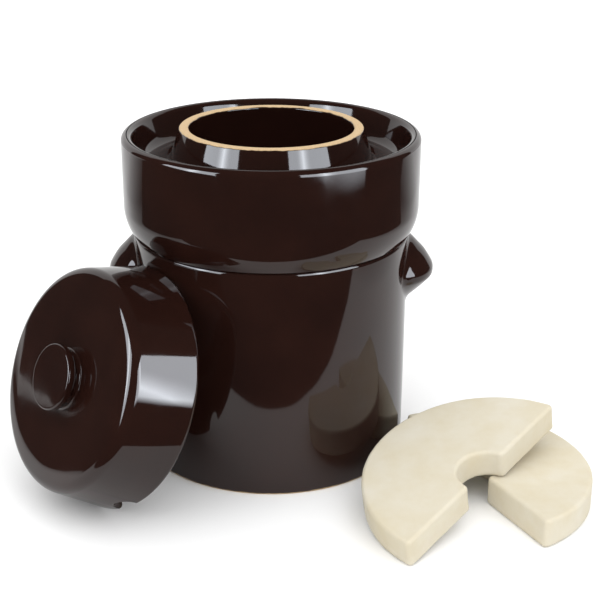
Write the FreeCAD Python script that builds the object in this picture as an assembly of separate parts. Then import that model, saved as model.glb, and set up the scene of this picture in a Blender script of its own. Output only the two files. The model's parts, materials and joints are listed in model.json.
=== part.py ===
import FreeCAD, Part
import math
import os

# Ceramic crock fermenter: a glazed jar with a water channel round its mouth, its lid leaning on the
# jar, and its two half-moon weights beside it.
# Millimetres. Z is up, and the origin is the centre of the jar's base.

V = FreeCAD.Vector
UP = V(0, 0, 1)

# Jar
BODY_R = 112.0          # outside of the straight wall
WALL = 10.0
FLOOR_T = 12.0
FOOT_EDGE = 2.5         # rounding where the wall meets the base
CREASE_Z = 188.5        # the collar's lower edge meets the wall here
CREASE_EDGE = 3.0
SHOULDER_R = 25.0       # inside curve from the wall to the ceiling
FLOOR_FILLET = 10.0     # inside curve from the floor to the wall

# Neck and water channel
NECK_Z = 273.0
NECK_IN_R = 65.8
NECK_RIM_R = 73.5
NECK_FLARE = 0.34       # how far the neck spreads for each millimetre down
MOUTH_FLARE = 0.14      # the same for its bore
NECK_EDGE = 1.8         # rounding of the rim's two edges
NECK_FILLET = 5.0       # where the neck meets the channel's floor
MOUTH_EDGE = 5.0        # where the mouth meets the ceiling
CHANNEL_Z = 245.0       # floor of the channel
CHANNEL_FILLET = 10.0
CEILING_Z = 228.0
COLLAR_R = 120.0
COLLAR_T = 9.0          # the rim, which is fully rounded
COLLAR_SLOPE = 0.33     # how far the collar's inner wall leans in for each millimetre down
COLLAR_Z = 269.0
COLLAR_TURN_Z = 212.0   # below this the collar curves in to the crease
COLLAR_BEND_R = 41.0
COLLAR_LOW_Z = 188.9
COLLAR_LOW_EDGE = 1.2

# Lug handles: a lens-shaped lug turned about an upright axis just inside the wall
LUG_AXIS_X = 96.8
LUG_R = 37.6
LUG_TIP_Z = 154.8
LUG_TOP_Z = 187.0
LUG_LOW_Z = 124.0
LUG_ROOT_R = 12.0       # the lug's radius at its top and bottom, inside the wall

# Lid, drawn with its rim on z = 0 and its face up
RIM_R = 96.2
LID_WALL = 7.0
LID_H = 55.2
LID_TOP_T = 8.0
FACE_R = 72.0           # where the flat face starts to fall away
SHOULDER_DROP = 3.2
FACE_BLEND = 70.0
TOP_EDGE_R = 85.2
TOP_EDGE = 7.5
INNER_FILLET = 9.0
RIM_EDGE = 3.2
NOTCH_R = 11.5          # half-round gas notches in the rim
NOTCH_TURN = 35.0       # degrees from the lid's lowest point to its notch

# Knob
KNOB_R = 25.3
WAIST_R = 22.6
KNOB_H = 12.6
CAP_T = 5.4             # height of the upright band round the knob's head
CAP_EDGE = 1.6
WAIST_H = 3.6
KNOB_CURVE = 5.0        # radius of the curves above the waist and under the head

# How the lid leans: its axis points out from the jar and up
LEAN = math.radians(22.5)
LEAN_SIDE = math.radians(216.2)     # way the lid faces, in plan
LEAN_AT = math.radians(218.2)       # way from the jar to the middle of the lid's rim
LEAN_REACH = 147.9                  # leaves 0.3 between the rim and the jar

# Half-moon weights
WEIGHT_R = 98.0
WEIGHT_T = 24.0
WEIGHT_CUT = 3.0        # the straight side stands off the full circle's centre
WEIGHT_NOTCH_R = 21.7
WEIGHT_TIP = 4.0        # upright corners
WEIGHT_EDGE = 3.0
LOWER_AT = V(155.5, -106.9, 0)
LOWER_TURN = -63.7
UPPER_AT = V(167.8, -148.0, 19.6)    # high enough for its low tip to touch the floor
UPPER_TURN = 47.2
UPPER_RISE = 11.9


def rz(r, z):
    """A point of a turned outline, in the XZ plane."""
    return V(r, 0, z)


def corner_centre(before, at, after, radius):
    """Centre of the arc that rounds one corner of an outline."""
    a = (before - at).normalize()
    b = (after - at).normalize()
    return at + (a + b).normalize() * (radius / math.sin(a.getAngle(b) / 2))


def corner(before, at, after, radius):
    """Start, middle and end of the arc that rounds one corner of an outline."""
    a = (before - at).normalize()
    b = (after - at).normalize()
    run = radius / math.tan(a.getAngle(b) / 2)
    centre = corner_centre(before, at, after, radius)
    middle = centre + (at - centre).normalize() * radius
    return at + a * run, middle, at + b * run


def outline(points):
    """Closed wire through (r, z, corner radius) points, straight runs joined by tangent arcs."""
    spots = [rz(r, z) for r, z, _ in points]
    arcs = []
    for i, (_, _, radius) in enumerate(points):
        here = spots[i]
        if radius > 0:
            arcs.append(corner(spots[i - 1], here, spots[(i + 1) % len(spots)], radius))
        else:
            arcs.append((here, here, here))
    edges = []
    for i, (start, middle, end) in enumerate(arcs):
        if (end - start).Length > 1e-6:
            edges.append(Part.Arc(start, middle, end).toShape())
        following = arcs[(i + 1) % len(arcs)][0]
        if (following - end).Length > 1e-6:
            edges.append(Part.LineSegment(end, following).toShape())
    return Part.Wire(edges)


def turned(wire):
    """Solid of revolution of an outline about the Z axis."""
    return Part.Face(wire).revolve(V(0, 0, 0), UP, 360)


def neck_r(z):
    """Outside radius of the neck at height z."""
    return NECK_RIM_R + NECK_FLARE * (NECK_Z - z)


def mouth_r(z):
    """Radius of the neck's bore at height z."""
    return NECK_IN_R + MOUTH_FLARE * (NECK_Z - z)


def rim_end():
    """Point where the collar's round rim meets its inner wall."""
    lean = math.atan(COLLAR_SLOPE)
    half = COLLAR_T / 2
    return rz(COLLAR_R - half - half * math.cos(lean), COLLAR_Z - half + half * math.sin(lean))


def channel_foot():
    """Inner wall of the collar, carried on down to the channel's floor."""
    return rz(rim_end().x - COLLAR_SLOPE * (rim_end().z - CHANNEL_Z), CHANNEL_Z)


CHANNEL_CURVE = corner(rim_end(), channel_foot(), rz(0, CHANNEL_Z), CHANNEL_FILLET)
CHANNEL_OUT_R = CHANNEL_CURVE[2].x      # where the channel's flat floor ends
CREASE_IN_R = BODY_R - CREASE_EDGE


def crock_body():
    """Base, wall, shoulder and neck in one turning."""
    inner = BODY_R - WALL
    return turned(outline([
        (0, 0, 0),
        (BODY_R, 0, FOOT_EDGE),
        (BODY_R, CREASE_Z, CREASE_EDGE),
        (CREASE_IN_R, CREASE_Z, 0),
        (CHANNEL_OUT_R, CHANNEL_Z, 0),
        (neck_r(CHANNEL_Z), CHANNEL_Z, NECK_FILLET),
        (NECK_RIM_R, NECK_Z, NECK_EDGE),
        (NECK_IN_R, NECK_Z, NECK_EDGE),
        (mouth_r(CEILING_Z), CEILING_Z, MOUTH_EDGE),
        (inner, CEILING_Z, SHOULDER_R),
        (inner, FLOOR_T, FLOOR_FILLET),
        (0, FLOOR_T, 0),
    ]))


def collar_turn_r(z):
    """Outside radius of the collar's lower curve, one arc that is upright at COLLAR_TURN_Z."""
    return COLLAR_R - COLLAR_BEND_R + math.sqrt(COLLAR_BEND_R ** 2 - (COLLAR_TURN_Z - z) ** 2)


def water_channel_collar():
    """Ring seated on the shoulder. Its lower curve ends at the crease and its rim is fully rounded."""
    mid_z = (COLLAR_LOW_Z + COLLAR_TURN_Z) / 2
    half = COLLAR_T / 2
    rim_z = COLLAR_Z - half
    low = rz(collar_turn_r(COLLAR_LOW_Z), COLLAR_LOW_Z)
    seat_low = rz(CREASE_IN_R, CREASE_Z)
    seat_high = CHANNEL_CURVE[2]
    turn = rz(COLLAR_R, COLLAR_TURN_Z)
    edges = [
        Part.LineSegment(seat_low, low),
        Part.Arc(low, rz(collar_turn_r(mid_z), mid_z), turn),
        Part.LineSegment(turn, rz(COLLAR_R, rim_z)),
        Part.Arc(rz(COLLAR_R, rim_z), rz(COLLAR_R - half, COLLAR_Z), rim_end()),
        Part.LineSegment(rim_end(), CHANNEL_CURVE[0]),
        Part.Arc(*CHANNEL_CURVE),
        Part.LineSegment(seat_high, seat_low),
    ]
    ring = turned(Part.Wire([edge.toShape() for edge in edges]))
    level = [e for e in ring.Edges if e.BoundBox.ZLength < 0.01]
    lower_rim = [e for e in level if abs(e.BoundBox.ZMax - COLLAR_LOW_Z) < 0.01]
    return ring.makeFillet(COLLAR_LOW_EDGE, lower_rim)


def lug_curve(stations):
    """Curve through (share of LUG_R, height from the tip, slope) stations, each slope a direction."""
    curve = Part.BSplineCurve()
    curve.interpolate(
        [rz(share * LUG_R, LUG_TIP_Z + rise) for share, rise, _ in stations],
        Tangents=[rz(*slope) for _, _, slope in stations],
        TangentFlags=[True] * len(stations))
    return curve


def lug_handle(side):
    """Solid lug on one side of the jar (side is +1 or -1), trimmed to the wall."""
    root = LUG_ROOT_R / LUG_R
    crown = lug_curve([
        (root, LUG_TOP_Z - LUG_TIP_Z, (1, -0.75)),
        (0.72, 17.6, (1, -1)),
        (0.945, 6.0, (1, -1.7)),
        (1, 0, (0, -1)),
    ])
    heel = lug_curve([
        (1, 0, (0, -1)),
        (0.955, -6.6, (-1, -1.2)),
        (0.53, -23.0, (-1, -0.95)),
        (root, LUG_LOW_Z - LUG_TIP_Z, (-0.5, -1)),
    ])
    edges = [
        Part.LineSegment(rz(0, LUG_TOP_Z), rz(LUG_ROOT_R, LUG_TOP_Z)),
        crown,
        heel,
        Part.LineSegment(rz(LUG_ROOT_R, LUG_LOW_Z), rz(0, LUG_LOW_Z)),
        Part.LineSegment(rz(0, LUG_LOW_Z), rz(0, LUG_TOP_Z)),
    ]
    lug = turned(Part.Wire([edge.toShape() for edge in edges]))
    lug.translate(V(LUG_AXIS_X, 0, 0))
    lug = lug.cut(Part.makeCylinder(BODY_R, COLLAR_Z))
    if side < 0:
        lug.rotate(V(0, 0, 0), UP, 180)
    return lug


def lean_pose():
    """Placement that takes the lid from face-up on its rim to leaning, rim on the floor and on the jar."""
    outward = V(math.cos(LEAN_SIDE), math.sin(LEAN_SIDE), 0)
    axis = outward * math.cos(LEAN) + UP * math.sin(LEAN)
    across = UP.cross(axis).normalize()
    rise = axis.cross(across)
    bead = corner_centre(rz(TOP_EDGE_R, LID_H - SHOULDER_DROP), rz(RIM_R, 0), rz(0, 0), RIM_EDGE)
    lift = RIM_EDGE + bead.x * math.cos(LEAN) - bead.z * math.sin(LEAN)
    centre = V(math.cos(LEAN_AT), math.sin(LEAN_AT), 0) * LEAN_REACH + UP * lift
    turn = FreeCAD.Rotation(across, rise, axis, "ZXY")
    return FreeCAD.Placement(centre, turn)


def lid_bell():
    """Face and deep skirt of the lid, with a gas notch at each end of one diameter of its rim."""
    bell = turned(outline([
        (0, LID_H, 0),
        (FACE_R, LID_H, FACE_BLEND),
        (TOP_EDGE_R, LID_H - SHOULDER_DROP, TOP_EDGE),
        (RIM_R, 0, RIM_EDGE),
        (RIM_R - LID_WALL, 0, RIM_EDGE),
        (TOP_EDGE_R - LID_WALL, LID_H - LID_TOP_T, INNER_FILLET),
        (0, LID_H - LID_TOP_T, 0),
    ]))
    cutter = Part.makeCylinder(NOTCH_R, 3 * RIM_R, V(-1.5 * RIM_R, 0, 0), V(1, 0, 0))
    cutter.rotate(V(0, 0, 0), UP, NOTCH_TURN - 90)
    bell = bell.cut(cutter)
    bell.Placement = lean_pose().multiply(bell.Placement)
    return bell


def lid_knob():
    """Low drum of a knob, drawn in to a waist where it meets the lid's face."""
    top_z = LID_H + KNOB_H
    knob = turned(outline([
        (0, LID_H, 0),
        (WAIST_R, LID_H, 0),
        (WAIST_R, LID_H + WAIST_H, KNOB_CURVE),
        (KNOB_R, top_z - CAP_T, KNOB_CURVE),
        (KNOB_R, top_z, CAP_EDGE),
        (0, top_z, 0),
    ]))
    knob.Placement = lean_pose().multiply(knob.Placement)
    return knob


def half_moon():
    """Half-moon weight: a disc cut straight, a round notch in the middle of the cut, every edge eased."""
    tip_x = math.sqrt(WEIGHT_R ** 2 - WEIGHT_CUT ** 2)
    left, right, top = V(-tip_x, WEIGHT_CUT, 0), V(tip_x, WEIGHT_CUT, 0), V(0, WEIGHT_R, 0)
    edges = [
        Part.Arc(right, top, left),
        Part.LineSegment(left, V(-WEIGHT_NOTCH_R, WEIGHT_CUT, 0)),
        Part.Arc(V(-WEIGHT_NOTCH_R, WEIGHT_CUT, 0), V(0, WEIGHT_CUT + WEIGHT_NOTCH_R, 0),
                 V(WEIGHT_NOTCH_R, WEIGHT_CUT, 0)),
        Part.LineSegment(V(WEIGHT_NOTCH_R, WEIGHT_CUT, 0), right),
    ]
    slab = Part.Face(Part.Wire([edge.toShape() for edge in edges])).extrude(UP * WEIGHT_T)
    uprights = [e for e in slab.Edges if e.BoundBox.ZLength > WEIGHT_T - 0.01]
    slab = slab.makeFillet(WEIGHT_TIP, uprights)
    rims = [e for e in slab.Edges if e.BoundBox.ZLength < 0.01]
    return slab.makeFillet(WEIGHT_EDGE, rims)


def weight_stone_lower():
    """Weight that lies flat."""
    weight = half_moon()
    weight.Placement = FreeCAD.Placement(LOWER_AT, FreeCAD.Rotation(UP, LOWER_TURN))
    return weight


def weight_stone_upper():
    """Weight that leans: one tip on the floor, its underside on the lower weight."""
    weight = half_moon()
    turn = FreeCAD.Rotation(UP, UPPER_TURN).multiply(FreeCAD.Rotation(V(0, 1, 0), -UPPER_RISE))
    weight.Placement = FreeCAD.Placement(UPPER_AT, turn)
    return weight


PARTS = {
    "crock_body": crock_body,
    "water_channel_collar": water_channel_collar,
    "lug_handle_left": lambda: lug_handle(-1),
    "lug_handle_right": lambda: lug_handle(1),
    "lid_bell": lid_bell,
    "lid_knob": lid_knob,
    "weight_stone_lower": weight_stone_lower,
    "weight_stone_upper": weight_stone_upper,
}

os.makedirs("parts", exist_ok=True)
for name, make in PARTS.items():
    make().exportStep(os.path.join("parts", name + ".step"))
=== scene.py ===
import json
import math

import bmesh
import bpy
import numpy as np
from mathutils import Matrix, Vector, noise

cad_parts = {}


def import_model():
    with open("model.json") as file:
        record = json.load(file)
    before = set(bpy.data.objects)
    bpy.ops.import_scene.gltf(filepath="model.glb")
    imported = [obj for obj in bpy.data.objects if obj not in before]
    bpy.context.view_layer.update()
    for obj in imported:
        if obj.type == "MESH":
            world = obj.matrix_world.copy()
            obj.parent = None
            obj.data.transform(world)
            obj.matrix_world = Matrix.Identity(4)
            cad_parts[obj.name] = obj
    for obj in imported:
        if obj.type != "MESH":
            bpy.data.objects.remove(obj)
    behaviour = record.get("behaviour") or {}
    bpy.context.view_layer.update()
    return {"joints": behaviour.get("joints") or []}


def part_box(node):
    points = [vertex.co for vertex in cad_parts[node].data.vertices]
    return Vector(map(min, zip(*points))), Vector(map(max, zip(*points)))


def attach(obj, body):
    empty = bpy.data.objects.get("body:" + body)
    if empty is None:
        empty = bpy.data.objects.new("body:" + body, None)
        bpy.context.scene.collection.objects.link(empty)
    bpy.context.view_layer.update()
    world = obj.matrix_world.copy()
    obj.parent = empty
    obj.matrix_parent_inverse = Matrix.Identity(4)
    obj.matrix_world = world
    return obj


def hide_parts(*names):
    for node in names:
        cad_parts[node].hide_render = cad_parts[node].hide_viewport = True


# Looks of the ceramic crock fermenter: a glazed jar with a water channel and two lugs, its lid leaning on it,
# and two bisque half-moon weights. Outlines are in millimetres and meshes in metres. Z is up.

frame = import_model()

MM = 0.001
UP = Vector((0, 0, 1))


def box_mm(node):
    """Lowest and highest corner of a CAD node, in millimetres."""
    low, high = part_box(node)
    return low / MM, high / MM


jar_low, jar_high = box_mm("crock_body")
collar_low, collar_high = box_mm("water_channel_collar")
lug_low, lug_high = box_mm("lug_handle_right")
stone_low, stone_high = box_mm("weight_stone_lower")

# Jar
BODY_R = (jar_high.x - jar_low.x) / 2
WALL = 10.0
FLOOR_T = 12.0
FOOT_EDGE = 2.5
CREASE_Z = 188.5
CREASE_EDGE = 3.0
CREASE_IN_R = BODY_R - CREASE_EDGE
SHOULDER_R = 25.0
FLOOR_FILLET = 10.0
CEILING_Z = 228.0

# Neck and water channel
NECK_Z = jar_high.z
NECK_IN_R = 65.8
NECK_RIM_R = 73.5
NECK_FLARE = 0.34
MOUTH_FLARE = 0.14
NECK_EDGE = 1.8
NECK_FILLET = 5.0
MOUTH_EDGE = 5.0
CHANNEL_Z = 245.0
CHANNEL_FILLET = 10.0
COLLAR_R = (collar_high.x - collar_low.x) / 2
COLLAR_T = 9.0
COLLAR_SLOPE = 0.33
COLLAR_Z = collar_high.z
COLLAR_TURN_Z = 212.0
COLLAR_BEND_R = 41.0
COLLAR_LOW_Z = collar_low.z + 0.4
COLLAR_LOW_EDGE = 1.2
COLLAR_LEAN = math.atan(COLLAR_SLOPE)
COLLAR_TOP_IN_R = COLLAR_R - COLLAR_T / 2 * (1 + math.tan(math.pi / 4 - COLLAR_LEAN / 2))
CHANNEL_WALL_R = COLLAR_TOP_IN_R - COLLAR_SLOPE * (COLLAR_Z - CHANNEL_Z)
CHANNEL_OUT_R = CHANNEL_WALL_R - CHANNEL_FILLET * math.tan(math.pi / 4 - COLLAR_LEAN / 2)

# Lugs
LUG_AXIS_X = 96.8
LUG_R = lug_high.x - LUG_AXIS_X
LUG_TIP_Z = 154.8
LUG_BLEND = 4.0
LUG_RAYS = 240
LUG_RINGS = 72
LUG_REACH = 70.0            # farther from the middle than any edge of the lug
LUG_ROOT_R = BODY_R - 2     # where the lug's mesh is closed inside the wall
LUG_STATIONS = [            # height from the tip, share of LUG_R, change of radius with height
    (-30.8, 0.319, 0.5), (-23.0, 0.53, 1.05), (-6.6, 0.955, 0.83), (0.0, 1.0, 0.0),
    (6.0, 0.945, -0.59), (17.6, 0.72, -1.0), (32.2, 0.319, -1.33)]

# Lid, drawn with its rim on z = 0 and its face up
RIM_R = 96.2
LID_WALL = 7.0
LID_H = 55.2
LID_TOP_T = 8.0
FACE_R = 72.0
FACE_BLEND = 70.0
SHOULDER_DROP = 1.6
TOP_EDGE_R = 85.2
TOP_EDGE = 9.5
INNER_FILLET = 9.0
RIM_EDGE = 3.2
NOTCH_R = 11.5
NOTCH_REACH = 30.0          # height over which the rim is drawn up round a notch
NOTCH_TURN = math.radians(35.0 - 90.0)
KNOB_R = 25.3
WAIST_R = 22.6
WAIST_H = 3.6
KNOB_H = 12.6
CAP_T = 5.4
CAP_EDGE = 1.6
KNOB_CURVE = 5.0
KNOB_FOOT = 1.6
KNOB_SUNK = 1.0             # depth of the knob's foot inside the lid's face
WAIST_EDGE = 1.4

# Weights
WEIGHT_R = 98.0
WEIGHT_T = stone_high.z - stone_low.z
WEIGHT_CUT = 3.0
WEIGHT_NOTCH_R = 21.7
WEIGHT_TIP = 4.0
WEIGHT_EDGE = 3.0
WEIGHT_BANDS = 10           # rings of faces down a weight's side
PRESSED_IN, WIDE_DENT, CLOSE_DENT = 0.30, 0.28, 0.10
LOWER_TURN = math.radians(-63.7)
UPPER_TURN = math.radians(47.2)
UPPER_RISE = math.radians(11.9)

STEPS = 256
ARC_STEP = math.radians(5.0)
SUPPORT = 0.4               # distance of the extra points beside each arc
SHARP = math.radians(38.0)


def new_object(name, verts, faces, rotation=None, shift=Vector((0, 0, 0))):
    """Object with a closed smooth mesh. verts are in millimetres; rotation and shift place them."""
    points = np.array(verts, float)
    if rotation is not None:
        points = points @ np.array(rotation).T
    points = (points + np.array(shift)) * MM
    mesh = bpy.data.meshes.new(name)
    mesh.from_pydata(points.tolist(), [], faces)
    bm = bmesh.new()
    bm.from_mesh(mesh)
    bmesh.ops.recalc_face_normals(bm, faces=bm.faces)
    bm.to_mesh(mesh)
    bm.free()
    mesh.shade_smooth()
    mesh.set_sharp_from_angle(angle=SHARP)
    made = bpy.data.objects.new(name, mesh)
    bpy.context.scene.collection.objects.link(made)
    return made


def outline(points, closed=False):
    """Points along straight runs joined by tangent arcs, from (r, z, corner radius) points.
    An end keeps its corner only when its radius is 0; closed is not used. Each arc has a point close on either
    side."""
    spots = [Vector((r, z)) for r, z, _ in points]
    made = []
    for i, (_, _, radius) in enumerate(points):
        here = spots[i]
        if radius == 0:
            made.append(here)
            continue
        before, after = spots[i - 1], spots[(i + 1) % len(spots)]
        a, b = (before - here).normalized(), (after - here).normalized()
        half = a.angle(b) / 2
        run = radius / math.tan(half)
        centre = here + (a + b).normalized() * (radius / math.sin(half))
        start, end = here + a * run, here + b * run
        steps = max(3, math.ceil((math.pi - 2 * half) / ARC_STEP))
        first, last = start - centre, end - centre
        turn = first.angle_signed(last)
        if (before - start).length > 3 * SUPPORT:
            made.append(start + a * SUPPORT)
        for k in range(steps + 1):
            made.append(centre + Matrix.Rotation(-turn * k / steps, 2) @ first)
        if (after - end).length > 3 * SUPPORT:
            made.append(end + b * SUPPORT)
    return made


def lathe(name, profile, angles=None, reshape=None, rotation=None, shift=Vector((0, 0, 0))):
    """Profile turned about Z. It is a loop, or it starts and ends on the axis.
    reshape(angle, r, z) moves the points of one column."""
    if angles is None:
        angles = [2 * math.pi * k / STEPS for k in range(STEPS)]
    capped = profile[0].x < 1e-9 and profile[-1].x < 1e-9
    ring = profile[1:-1] if capped else profile
    verts, faces, count = [], [], len(ring)
    for angle in angles:
        for r, z in ring:
            if reshape is not None:
                r, z = reshape(angle, r, z)
            verts.append((r * math.cos(angle), r * math.sin(angle), z))
    for k in range(len(angles)):
        here, there = k * count, (k + 1) % len(angles) * count
        for j in range(count - 1 if capped else count):
            up = (j + 1) % count
            faces.append((here + j, there + j, there + up, here + up))
    if capped:
        for end, j in ((profile[0], 0), (profile[-1], count - 1)):
            verts.append((0, 0, end.y))
            for k in range(len(angles)):
                faces.append((len(verts) - 1, k * count + j, (k + 1) % len(angles) * count + j))
    return new_object(name, verts, faces, rotation, shift)


def neck_r(z):
    """Outside radius of the neck, which leans outwards as it goes down."""
    return NECK_RIM_R + NECK_FLARE * (NECK_Z - z)


def jar_body():
    """Base, wall, shoulder and neck, with the floor of the water channel."""
    inner = BODY_R - WALL
    return lathe("jar_body", outline([
        (0, 0, 0),
        (BODY_R, 0, FOOT_EDGE),
        (BODY_R, CREASE_Z, CREASE_EDGE),
        (CREASE_IN_R, CREASE_Z, 0),
        (CHANNEL_OUT_R, CHANNEL_Z, 0),
        (neck_r(CHANNEL_Z), CHANNEL_Z, NECK_FILLET),
        (NECK_RIM_R, NECK_Z, NECK_EDGE),
        (NECK_IN_R, NECK_Z, NECK_EDGE),
        (NECK_IN_R + MOUTH_FLARE * (NECK_Z - CEILING_Z), CEILING_Z, MOUTH_EDGE),
        (inner, CEILING_Z, SHOULDER_R),
        (inner, FLOOR_T, FLOOR_FILLET),
        (0, FLOOR_T, 0),
    ]))


def collar_turn_r(z):
    """Outside radius of the collar's lower curve."""
    return COLLAR_R - COLLAR_BEND_R + math.sqrt(COLLAR_BEND_R ** 2 - (COLLAR_TURN_Z - z) ** 2)


def channel_collar():
    """Ring round the water channel: rounded rim, straight wall, and a lower curve that ends at the crease."""
    half = COLLAR_T / 2 - 0.01
    curve = [Vector((collar_turn_r(z), z)) for z in np.linspace(COLLAR_LOW_Z + 2, COLLAR_TURN_Z, 14)]
    low = outline([
        (CREASE_IN_R, CREASE_Z, 0),
        (collar_turn_r(COLLAR_LOW_Z), COLLAR_LOW_Z, COLLAR_LOW_EDGE),
        (curve[0].x, curve[0].y, 0),
    ])
    high = outline([
        (COLLAR_R, COLLAR_TURN_Z + 2, 0),
        (COLLAR_R, COLLAR_Z, half),
        (COLLAR_TOP_IN_R, COLLAR_Z, half),
        (CHANNEL_WALL_R, CHANNEL_Z, CHANNEL_FILLET),
        (CHANNEL_OUT_R - 1.0, CHANNEL_Z, 0),
    ])
    return lathe("channel_collar", low + curve[1:] + high[:-1])


def lug_radius(z):
    """Radius of the lug about its upright axis at height z, and how it changes with z."""
    t = np.asarray(z, float) - LUG_TIP_Z
    radius, slope = np.zeros_like(t), np.zeros_like(t)
    for (t0, s0, m0), (t1, s1, m1) in zip(LUG_STATIONS, LUG_STATIONS[1:]):
        span = t1 - t0
        u = np.clip((t - t0) / span, 0, 1)
        r0, r1 = s0 * LUG_R, s1 * LUG_R
        value = (2 * u ** 3 - 3 * u ** 2 + 1) * r0 + (u ** 3 - 2 * u ** 2 + u) * span * m0
        value += (3 * u ** 2 - 2 * u ** 3) * r1 + (u ** 3 - u ** 2) * span * m1
        rate = ((6 * u ** 2 - 6 * u) * (r0 - r1) / span
                + (3 * u ** 2 - 4 * u + 1) * m0 + (3 * u ** 2 - 2 * u) * m1)
        inside = (t >= t0) & (t <= t1)
        radius, slope = np.where(inside, value, radius), np.where(inside, rate, slope)
    for (t0, s0, m0), beyond in ((LUG_STATIONS[0], t < LUG_STATIONS[0][0]),
                                 (LUG_STATIONS[-1], t > LUG_STATIONS[-1][0])):
        radius = np.where(beyond, s0 * LUG_R + m0 * (t - t0), radius)
        slope = np.where(beyond, m0, slope)
    return radius, slope


def from_lug(r, theta, z):
    """Rough distance outside the lug of a point of the jar's cylinder coordinates."""
    radius, slope = lug_radius(z)
    away = np.hypot(r * np.cos(theta) - LUG_AXIS_X, r * np.sin(theta))
    return (away - radius) / np.sqrt(1 + slope ** 2)


def from_glazed_lug(r, theta, z):
    """Rough distance outside the lug and the wall, with the glaze filling the corner between them."""
    wall, lug = r - BODY_R, from_lug(r, theta, z)
    near = np.maximum(LUG_BLEND - np.abs(wall - lug), 0) / LUG_BLEND
    return np.minimum(wall, lug) - near ** 2 * LUG_BLEND / 4


def halved(low, high, outside):
    """Where outside(x) turns from negative to positive between low and high, for arrays."""
    for _ in range(40):
        middle = (low + high) / 2
        out = outside(middle) > 0
        low, high = np.where(out, low, middle), np.where(out, middle, high)
    return (low + high) / 2


def lug(name, side):
    """Lug blended into the wall, as rings round its middle that end on the wall, closed inside it."""
    rays, rings = LUG_RAYS, LUG_RINGS
    phi = np.arange(rays) * 2 * np.pi / rays
    reach = halved(np.zeros(rays), np.full(rays, LUG_REACH), lambda d: from_lug(
        BODY_R, d * np.cos(phi) / BODY_R, LUG_TIP_Z + d * np.sin(phi)) - LUG_BLEND)
    verts, faces = [], []
    for k in range(rings + 1):
        away = reach * k / rings
        theta, z = away * np.cos(phi) / BODY_R, LUG_TIP_Z + away * np.sin(phi)
        r = halved(np.full(rays, BODY_R - 3), np.full(rays, BODY_R + 60),
                   lambda x: from_glazed_lug(x, theta, z))
        verts += list(zip(r * np.cos(theta), r * np.sin(theta), z))
    verts += list(zip(LUG_ROOT_R * np.cos(theta), LUG_ROOT_R * np.sin(theta), z))
    verts[:rays] = [verts[0]]
    last = 1 + (rings + 1) * rays - rays
    verts.append((LUG_ROOT_R, 0, LUG_TIP_Z))
    for k in range(rings):
        a, b = 1 + k * rays, 1 + (k + 1) * rays
        for i in range(rays):
            j = (i + 1) % rays
            faces.append((a + i, a + j, b + j, b + i))
    for i in range(rays):
        j = (i + 1) % rays
        faces.append((0, 1 + i, 1 + j))
        faces.append((last + j, last + i, len(verts) - 1))
    turn = Matrix.Rotation(0 if side > 0 else math.pi, 3, "Z")
    return new_object(name, verts, faces, turn)


def joint_axis(name):
    """Axis of one joint of the record, as a unit vector."""
    found = [j for j in frame["joints"] if j["name"] == name][0]
    return Vector(found["axis"]).normalized()


def lid_turn():
    """Rotation from the lid face-up to the lid as it leans: its axis is the one that it is lifted along."""
    axis = joint_axis("lid_lift")
    across = UP.cross(axis).normalized()
    return Matrix((across, axis.cross(across), axis)).transposed()


def centred_on(made, node):
    """Moves a mesh so that the middle of its box is the middle of the CAD node's box, and says how far."""
    low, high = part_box(node)
    points = np.array([v.co for v in made.data.vertices])
    shift = (low + high) / 2 - Vector((points.min(0) + points.max(0)) / 2)
    made.data.transform(Matrix.Translation(shift))
    return shift


def notch_rise(angle):
    """How far the lid's rim is drawn up at this angle, 0 away from the two notches."""
    aside = abs(math.sin(angle - NOTCH_TURN)) * RIM_R
    return math.sqrt(max(NOTCH_R ** 2 - aside ** 2, 0))


def notched(angle, r, z):
    """Place of a lid point with the rim drawn up round the notches, along the skirt's slope."""
    share = max(1 - z / NOTCH_REACH, 0)
    lift = notch_rise(angle) * share * share * (3 - 2 * share)
    return r - lift * (RIM_R - TOP_EDGE_R) / LID_H, z + lift


def lid_angles():
    """Even steps round the lid, and round each half-round notch even steps along its edge."""
    edge = math.asin(NOTCH_R / RIM_R)
    angles = []
    for half_turn in (0, math.pi):
        middle = NOTCH_TURN + half_turn
        angles += [middle - math.asin(NOTCH_R * math.cos(math.pi * k / 36) / RIM_R) for k in range(37)]
        plain = math.pi - 2 * edge
        angles += [middle + edge + plain * k / 120 for k in range(1, 120)]
    return angles


def lid_bell(turn):
    """Face, rounded shoulder and deep skirt of the lid, hollow inside."""
    return lathe("lid_shell", outline([
        (0, LID_H, 0),
        (FACE_R, LID_H, FACE_BLEND),
        (TOP_EDGE_R, LID_H - SHOULDER_DROP, TOP_EDGE),
        (RIM_R, 0, RIM_EDGE),
        (RIM_R - LID_WALL, 0, RIM_EDGE),
        (TOP_EDGE_R - LID_WALL, LID_H - LID_TOP_T, INNER_FILLET),
        (0, LID_H - LID_TOP_T, 0),
    ]), lid_angles(), reshape=notched, rotation=turn)


def knob(turn):
    """Low drum with a drawn-in waist; the glaze fills the corner at its foot."""
    top, foot = LID_H + KNOB_H, LID_H - 0.02
    return lathe("lid_knob_turned", outline([
        (0, LID_H - KNOB_SUNK, 0),
        (WAIST_R + 3, LID_H - KNOB_SUNK, 0),
        (WAIST_R + 3, foot, 0),
        (WAIST_R, foot, KNOB_FOOT),
        (WAIST_R, LID_H + WAIST_H, WAIST_EDGE),
        (KNOB_R, top - CAP_T, KNOB_CURVE),
        (KNOB_R, top, CAP_EDGE),
        (0, top, 0),
    ]), rotation=turn)


def spaced(length, margins, count):
    """Distances from one end: close together near both ends, even between."""
    middle = np.linspace(margins[-1], length - margins[-1], count)
    return np.concatenate([margins[:-1], middle, length - np.array(margins[:-1][::-1])])


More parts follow.
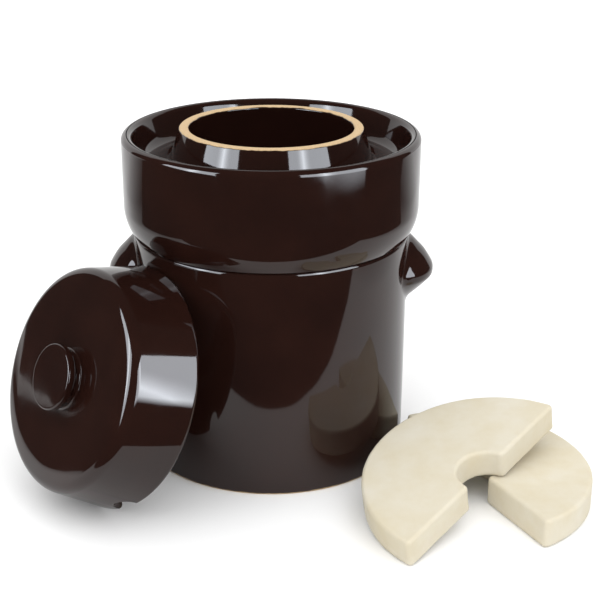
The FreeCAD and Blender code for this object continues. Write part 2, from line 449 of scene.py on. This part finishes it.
def half_moon_grid():
    """Grid of one flat side of a half-moon: for each point its plan place and its distance inside the edge."""
    margins = [0, 0.3, 0.8, 1.4, 2.1, 3.0, WEIGHT_TIP]
    cut_angle = math.asin(WEIGHT_CUT / WEIGHT_R)
    arm = WEIGHT_R * math.cos(cut_angle) - WEIGHT_NOTCH_R
    turn_share = 1 - 2 * cut_angle / math.pi
    columns = spaced(math.pi * WEIGHT_R / 2, margins, 130)
    rows = spaced(arm, margins, 40)
    grid = []
    for u in columns:
        line = []
        for v in rows:
            end_gap = min(u, columns[-1] - u)
            side_gap = min(v, arm - v)
            inset = min(end_gap, side_gap)
            if end_gap < WEIGHT_TIP and side_gap < WEIGHT_TIP:
                a, b = WEIGHT_TIP - end_gap, WEIGHT_TIP - side_gap
                inset = WEIGHT_TIP - max(a, b)
                squeeze = max(a, b) / max(math.hypot(a, b), 1e-9)
                end_gap, side_gap = WEIGHT_TIP - a * squeeze, WEIGHT_TIP - b * squeeze
            t = (side_gap if v < arm / 2 else arm - side_gap) / arm
            spread = (1 - t) * WEIGHT_NOTCH_R + t * WEIGHT_R * turn_share
            if min(u, columns[-1] - u) <= WEIGHT_TIP:
                alpha = end_gap / spread
                if u > columns[-1] / 2:
                    alpha = math.pi - alpha
            else:
                first = WEIGHT_TIP / spread
                share = (u - WEIGHT_TIP) / (columns[-1] - 2 * WEIGHT_TIP)
                alpha = first + (math.pi - 2 * first) * share
            beta = cut_angle + alpha * turn_share
            inner = Vector((WEIGHT_NOTCH_R * math.cos(alpha), WEIGHT_CUT + WEIGHT_NOTCH_R * math.sin(alpha)))
            outer = Vector((WEIGHT_R * math.cos(beta), WEIGHT_R * math.sin(beta)))
            line.append((inner.lerp(outer, t), inset))
        grid.append(line)
    return grid


def half_moon(name, node, turn, seed):
    """Half-moon weight: hand-cut slab with softly uneven faces and edges."""
    grid = half_moon_grid()
    wide, tall = len(grid), len(grid[0])
    verts, faces = [], []
    for sign in (1, -1):
        for line in grid:
            for place, inset in line:
                drop = 0.0
                if inset < WEIGHT_EDGE:
                    drop = WEIGHT_EDGE - math.sqrt(WEIGHT_EDGE ** 2 - (WEIGHT_EDGE - inset) ** 2)
                verts.append((place.x, place.y, WEIGHT_T / 2 + sign * (WEIGHT_T / 2 - drop)))
    half = wide * tall
    for i in range(wide - 1):
        for j in range(tall - 1):
            a = i * tall + j
            faces.append((a, a + tall, a + tall + 1, a + 1))
            faces.append((half + a, half + a + 1, half + a + tall + 1, half + a + tall))
    edge = [i * tall for i in range(wide)] + [(wide - 1) * tall + j for j in range(1, tall)]
    edge += [i * tall + tall - 1 for i in range(wide - 2, -1, -1)] + list(range(tall - 2, 0, -1))
    loops = [edge]
    for band in range(1, WEIGHT_BANDS):
        loops.append(list(range(len(verts), len(verts) + len(edge))))
        for k in edge:
            top = Vector(verts[k])
            low = Vector(verts[half + k])
            verts.append(tuple(top.lerp(low, band / WEIGHT_BANDS)))
    loops.append([half + k for k in edge])
    for upper, lower in zip(loops, loops[1:]):
        for k in range(len(edge)):
            n = (k + 1) % len(edge)
            faces.append((upper[k], upper[n], lower[n], lower[k]))
    made = new_object(name, verts, faces, turn)
    centred_on(made, node)
    weather(made, seed)
    return made


def weather(made, seed):
    """Presses a mesh in a little along its normals, unevenly, as hand-finished clay is."""
    made.data.update()
    offset = Vector((seed * 3.1, seed * 1.7, seed * 0.9))
    normals = [v.normal.copy() for v in made.data.vertices]
    for v, normal in zip(made.data.vertices, normals):
        place = v.co / MM + offset * 100
        wide = noise.fractal(place / 38, 1.0, 2.0, 2)
        close = noise.fractal(place / 7, 1.0, 2.0, 3)
        v.co -= normal * (PRESSED_IN + WIDE_DENT * wide + CLOSE_DENT * close) * MM
    made.data.update()


# Materials ------------------------------------------------------------------------------------------------

def srgb(red, green, blue):
    """Linear colour from 0 to 255 display values."""
    def linear(c):
        c = c / 255
        return c / 12.92 if c <= 0.04045 else ((c + 0.055) / 1.055) ** 2.4
    return linear(red), linear(green), linear(blue), 1.0


class Nodes:
    """Short way to add and join the nodes of one tree."""

    def __init__(self, tree):
        self.tree = tree
        tree.nodes.clear()

    def add(self, kind, inputs=None, **settings):
        made = self.tree.nodes.new(kind)
        for key, value in settings.items():
            setattr(made, key, value)
        for key, value in (inputs or {}).items():
            if isinstance(value, bpy.types.NodeSocket):
                self.tree.links.new(value, made.inputs[key])
            else:
                made.inputs[key].default_value = value
        return made

    def noise(self, vector, scale, detail=2.0, roughness=0.5):
        """Noise with a given number of features to the metre."""
        return self.add("ShaderNodeTexNoise", {
            "Vector": vector, "Scale": scale, "Detail": detail, "Roughness": roughness}).outputs["Fac"]

    def ramp(self, value, low, high, to_low=0.0, to_high=1.0):
        return self.add("ShaderNodeMapRange", {
            "Value": value, "From Min": low, "From Max": high, "To Min": to_low, "To Max": to_high,
        }, clamp=True).outputs["Result"]

    def math(self, operation, a, b=0.0):
        return self.add("ShaderNodeMath", {0: a, 1: b}, operation=operation).outputs["Value"]


def mix_rgba(nodes, factor, a, b):
    """Mix of two colours; a and b are colours or sockets."""
    made = nodes.tree.nodes.new("ShaderNodeMix")
    made.data_type = "RGBA"
    for index, value in ((0, factor), (6, a), (7, b)):
        if isinstance(value, bpy.types.NodeSocket):
            nodes.tree.links.new(value, made.inputs[index])
        else:
            made.inputs[index].default_value = value
    return made.outputs[2]


GLAZE_DEEP = (0.0125, 0.0046, 0.0034, 1.0)
GLAZE_WARM = (0.0170, 0.0062, 0.0044, 1.0)
GLAZE_THIN = (0.0420, 0.0160, 0.0100, 1.0)
CLAY = srgb(205, 180, 142)
CLAY_DARK = srgb(168, 138, 98)
BISQUE = srgb(206, 200, 184)
BISQUE_WARM = srgb(199, 189, 164)


def glaze_material(name, bare=None):
    """Dark brown gloss glaze. bare(nodes, position) gives a 0 to 1 mask of where raw clay shows."""
    material = bpy.data.materials.new(name)
    material.use_nodes = True
    nodes = Nodes(material.node_tree)
    position = nodes.add("ShaderNodeTexCoord").outputs["Object"]
    cloud = nodes.noise(position, 22.0, 3.0)
    fleck = nodes.noise(position, 1400.0, 2.0, 0.6)
    colour = mix_rgba(nodes, nodes.ramp(cloud, 0.35, 0.68), GLAZE_DEEP, GLAZE_WARM)
    colour = mix_rgba(nodes, nodes.ramp(fleck, 0.66, 0.78, 0.0, 0.35), colour, GLAZE_THIN)
    swell = nodes.noise(position, 26.0, 1.0)
    peel = nodes.noise(position, 260.0, 2.0)
    height = nodes.math("ADD", nodes.math("MULTIPLY", swell, 0.20), nodes.math("MULTIPLY", peel, 0.004))
    rough = nodes.ramp(nodes.noise(position, 60.0, 4.0), 0.3, 0.7, 0.035, 0.075)
    specular = 0.5
    if bare is not None:
        mask = bare(nodes, position)
        grain = nodes.noise(position, 1700.0, 6.0, 0.65)
        clay = mix_rgba(nodes, nodes.ramp(grain, 0.35, 0.7), CLAY, CLAY_DARK)
        colour = mix_rgba(nodes, mask, colour, clay)
        rough = nodes.ramp(mask, 0.0, 1.0, 0.055, 0.85)
        specular = nodes.ramp(mask, 0.0, 1.0, 0.5, 0.25)
        grit = nodes.math("MULTIPLY", nodes.math("MULTIPLY", grain, mask), 0.12)
        step = nodes.math("MULTIPLY", mask, -0.25)
        height = nodes.math("ADD", height, nodes.math("ADD", grit, step))
    bump = nodes.add("ShaderNodeBump", {"Height": height, "Distance": MM, "Strength": 1.0})
    shader = nodes.add("ShaderNodeBsdfPrincipled", {
        "Base Color": colour, "Roughness": rough, "IOR": 1.5, "Specular IOR Level": specular,
        "Normal": bump.outputs["Normal"]})
    nodes.add("ShaderNodeOutputMaterial", {"Surface": shader.outputs["BSDF"]})
    return material


def bare_rim_and_foot(nodes, position):
    """1 on the neck's rim and the foot, where the glaze was wiped off, with a slightly wandering edge."""
    z = nodes.add("ShaderNodeSeparateXYZ", {"Vector": position}).outputs["Z"]
    wander = nodes.ramp(nodes.noise(position, 90.0, 3.0), 0.3, 0.7, -0.45 * MM, 0.45 * MM)
    place = nodes.math("ADD", z, wander)
    rim_z, foot_z = (NECK_Z - 0.7) * MM, 1.4 * MM
    rim = nodes.ramp(place, rim_z - 0.25 * MM, rim_z + 0.25 * MM)
    foot = nodes.ramp(place, foot_z - 0.25 * MM, foot_z + 0.25 * MM, 1.0, 0.0)
    return nodes.math("MAXIMUM", rim, foot)


def bisque_material():
    """Unglazed cream stoneware: matt, faintly mottled, with grains and pores."""
    material = bpy.data.materials.new("bisque_stoneware")
    material.use_nodes = True
    nodes = Nodes(material.node_tree)
    position = nodes.add("ShaderNodeTexCoord").outputs["Object"]
    cloud = nodes.noise(position, 28.0, 4.0, 0.6)
    grain = nodes.noise(position, 1500.0, 5.0, 0.7)
    colour = mix_rgba(nodes, nodes.ramp(cloud, 0.3, 0.7), BISQUE, BISQUE_WARM)
    colour = mix_rgba(nodes, nodes.ramp(grain, 0.60, 0.80, 0.0, 0.30), colour, CLAY_DARK)
    pore_field = nodes.add("ShaderNodeTexVoronoi", {"Vector": position, "Scale": 260.0})
    pore = nodes.ramp(pore_field.outputs["Distance"], 0.03, 0.16)
    scratch = nodes.noise(position, 320.0, 3.0)
    height = nodes.math("ADD", nodes.math("MULTIPLY", grain, 0.05), nodes.math("MULTIPLY", scratch, 0.08))
    height = nodes.math("ADD", height, nodes.math("MULTIPLY", pore, 0.10))
    bump = nodes.add("ShaderNodeBump", {"Height": height, "Distance": MM, "Strength": 1.0})
    shader = nodes.add("ShaderNodeBsdfPrincipled", {
        "Base Color": colour, "Roughness": 0.88, "Specular IOR Level": 0.25,
        "Normal": bump.outputs["Normal"]})
    nodes.add("ShaderNodeOutputMaterial", {"Surface": shader.outputs["BSDF"]})
    return material


def emission_material(name, strength, colour=(1.0, 1.0, 1.0, 1.0)):
    """Plain light-giving surface; strength is a number or a function that builds a socket."""
    material = bpy.data.materials.new(name)
    material.use_nodes = True
    nodes = Nodes(material.node_tree)
    value = strength(nodes) if callable(strength) else strength
    glow = nodes.add("ShaderNodeEmission", {"Color": colour, "Strength": value})
    nodes.add("ShaderNodeOutputMaterial", {"Surface": glow.outputs["Emission"]})
    return material


def pale_material(name, albedo):
    """Matt grey of one albedo."""
    material = bpy.data.materials.new(name)
    material.use_nodes = True
    nodes = Nodes(material.node_tree)
    shader = nodes.add("ShaderNodeBsdfDiffuse", {"Color": (albedo, albedo, albedo, 1.0)})
    nodes.add("ShaderNodeOutputMaterial", {"Surface": shader.outputs["BSDF"]})
    return material


def board_material():
    """White board, dimmer towards the near edge of its two wings."""
    material = bpy.data.materials.new("white_board")
    material.use_nodes = True
    nodes = Nodes(material.node_tree)
    place = nodes.add("ShaderNodeTexCoord").outputs["Object"]
    split = nodes.add("ShaderNodeSeparateXYZ", {"Vector": place})
    aside = nodes.ramp(nodes.math("ABSOLUTE", split.outputs["X"]), 0.50, 0.75, 1.0, 0.15)
    behind = nodes.ramp(split.outputs["Y"], 0.28, 0.65, 0.15, 1.0)
    albedo = nodes.math("MULTIPLY", nodes.math("MAXIMUM", aside, behind), 0.72)
    shader = nodes.add("ShaderNodeBsdfDiffuse", {"Color": albedo})
    nodes.add("ShaderNodeOutputMaterial", {"Surface": shader.outputs["BSDF"]})
    return material


# Studio ---------------------------------------------------------------------------------------------------

SKY = 0.87
ROOM = (0.055, 0.050, 0.048, 1.0)
FLOOR_REACH = 4000
BOARD_FRONT_Y = -265
BOARD_Z = 0.05              # just above the floor
SOFTBOX_COLOUR = (0.88, 0.93, 1.0, 1.0)
SOFTBOX_TOP_Z = 580
SOFTBOX_BASE, SOFTBOX_HOT = 8.8, 20.0


def flat_stage(name, corners, material, seen_by):
    """One polygon of the studio, seen only by the kinds of ray named."""
    mesh = bpy.data.meshes.new(name)
    mesh.from_pydata([Vector(c) * MM for c in corners], [], [tuple(range(len(corners)))])
    mesh.uv_layers.new(name="place")
    made = bpy.data.objects.new(name, mesh)
    bpy.context.scene.collection.objects.link(made)
    made.data.materials.append(material)
    for kind in ("camera", "diffuse", "glossy", "transmission", "shadow"):
        setattr(made, "visible_" + kind, kind in seen_by)
    return made


def softbox_glow(nodes, hot_place, hot_width, fade):
    """Strength of a softbox: even, with an upright hot core and a soft lower edge. UV is 0 to 1 both ways."""
    uv = nodes.add("ShaderNodeUVMap").outputs["UV"]
    split = nodes.add("ShaderNodeSeparateXYZ", {"Vector": uv})
    across, height = split.outputs["X"], split.outputs["Y"]
    away = nodes.math("ABSOLUTE", nodes.math("SUBTRACT", across, hot_place))
    core = nodes.ramp(away, 0.0, hot_width, 1.0, 0.0)
    core = nodes.math("MULTIPLY", core, core)
    level = nodes.math("ADD", nodes.math("MULTIPLY", core, SOFTBOX_HOT - SOFTBOX_BASE), SOFTBOX_BASE)
    return nodes.math("MULTIPLY", level, nodes.ramp(height, 0.0, fade, 0.04, 1.0))


def softbox(name, left, right, hot_place, hot_width, fade):
    """Upright softbox between its two lower corners, seen only in the glaze."""
    corners = [left, right, (*right[:2], SOFTBOX_TOP_Z), (*left[:2], SOFTBOX_TOP_Z)]
    glow = emission_material(
        name, lambda nodes: softbox_glow(nodes, hot_place, hot_width, fade), SOFTBOX_COLOUR)
    made = flat_stage(name, corners, glow, ("glossy",))
    for loop, place in zip(made.data.uv_layers["place"].data, ((0, 0), (1, 0), (1, 1), (0, 1))):
        loop.uv = place
    return made


def soft_sun(name, towards, strength, spread):
    """Even light from one direction (a vector towards it), with its spread in degrees."""
    data = bpy.data.lights.new(name, "SUN")
    data.energy = strength
    data.angle = math.radians(spread)
    made = bpy.data.objects.new(name, data)
    bpy.context.scene.collection.objects.link(made)
    made.rotation_euler = (-Vector(towards)).to_track_quat("-Z", "Y").to_euler()
    made.visible_glossy = False
    return made


def world():
    """White to the camera, a soft white sky to matt surfaces, and a dim warm room to the glaze."""
    made = bpy.data.worlds.new("studio")
    bpy.context.scene.world = made
    made.use_nodes = True
    nodes = Nodes(made.node_tree)
    ray = nodes.add("ShaderNodeLightPath")
    sky = nodes.add("ShaderNodeBackground", {"Color": (1.0, 1.0, 1.0, 1.0), "Strength": SKY})
    room = nodes.add("ShaderNodeBackground", {"Color": ROOM, "Strength": 1.0})
    white = nodes.add("ShaderNodeBackground", {"Color": (1.0, 1.0, 1.0, 1.0), "Strength": 1.05})
    lit = nodes.add("ShaderNodeMixShader", {
        0: ray.outputs["Is Glossy Ray"], 1: sky.outputs["Background"], 2: room.outputs["Background"]})
    seen = nodes.add("ShaderNodeMixShader", {
        0: ray.outputs["Is Camera Ray"], 1: lit.outputs["Shader"], 2: white.outputs["Background"]})
    nodes.add("ShaderNodeOutputWorld", {"Surface": seen.outputs["Shader"]})


def studio():
    world()
    pale = pale_material("pale_floor", 0.92)
    far = FLOOR_REACH
    flat_stage("floor", [(-far, -far, 0), (far, -far, 0), (far, far, 0), (-far, far, 0)], pale,
               ("camera", "diffuse", "shadow", "transmission"))
    edge = [(-600, BOARD_FRONT_Y), (560, BOARD_FRONT_Y), (670, 235), (865, 290), (1500, 1000),
            (-2600, 1000), (-2600, 600), (-865, 290), (-670, 235)]
    flat_stage("board", [(x, y, BOARD_Z) for x, y in edge], board_material(), ("glossy",))
    white = emission_material("white_backdrop", 1.0)
    flat_stage("backdrop", [(-1500, 1000, 0), (1500, 1000, 0), (1500, 1000, 1600), (-1500, 1000, 1600)],
               white, ("glossy",))
    softbox("softbox_right", (250, -715, 100), (600, -250, 86), 0.40, 0.18, 0.12)
    softbox("softbox_left", (-645, -100, 380), (-380, -496, 118), 0.60, 0.20, 0.03)
    soft_sun("sun_right", (0.55, -0.60, 0.70), 0.77, 60)
    soft_sun("sun_left", (-0.55, -0.60, 0.70), 0.77, 60)
    soft_sun("sun_top", (0, -0.15, 1), 0.98, 90)


CAMERA_AT = Vector((0.0, -996.49, 522.07))
PITCH, YAW, ROLL = 0.381, 0.0237, 0.0059


def camera():
    data = bpy.data.cameras.new("camera")
    data.lens = 76.35
    data.sensor_width = 36.0
    data.clip_start = 0.01
    made = bpy.data.objects.new("camera", data)
    bpy.context.scene.collection.objects.link(made)
    turn = (Matrix.Rotation(-YAW, 4, "Z") @ Matrix.Rotation(math.pi / 2 - PITCH, 4, "X")
            @ Matrix.Rotation(ROLL, 4, "Z"))
    made.matrix_world = Matrix.Translation(CAMERA_AT * MM) @ turn
    bpy.context.scene.camera = made


def dress(made, material, body, node):
    """Gives a piece its material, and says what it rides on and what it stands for."""
    made.data.materials.append(material)
    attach(made, body)
    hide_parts(node)


glaze = glaze_material("brown_glaze")
jar_glaze = glaze_material("brown_glaze_wiped", bare_rim_and_foot)
bisque = bisque_material()
lid_pose = lid_turn()

dress(jar_body(), jar_glaze, "jar", "crock_body")
dress(channel_collar(), glaze, "jar", "water_channel_collar")
dress(lug("lug_left", -1), glaze, "jar", "lug_handle_left")
dress(lug("lug_right", 1), glaze, "jar", "lug_handle_right")

shell = lid_bell(lid_pose)
lid_shift = centred_on(shell, "lid_bell")
dress(shell, glaze, "lid", "lid_bell")
grip = knob(lid_pose)
grip.data.transform(Matrix.Translation(lid_shift))
dress(grip, glaze, "lid", "lid_knob")

lower_turn = Matrix.Rotation(LOWER_TURN, 3, "Z")
upper_turn = Matrix.Rotation(UPPER_TURN, 3, "Z") @ Matrix.Rotation(-UPPER_RISE, 3, "Y")
dress(half_moon("weight_lower_moon", "weight_stone_lower", lower_turn, 1), bisque,
      "weight_lower", "weight_stone_lower")
dress(half_moon("weight_upper_moon", "weight_stone_upper", upper_turn, 2), bisque,
      "weight_upper", "weight_stone_upper")

studio()
camera()
bpy.context.scene.view_settings.view_transform = "Standard"
bpy.context.scene.view_settings.look = "None"

bpy.context.view_layer.update()
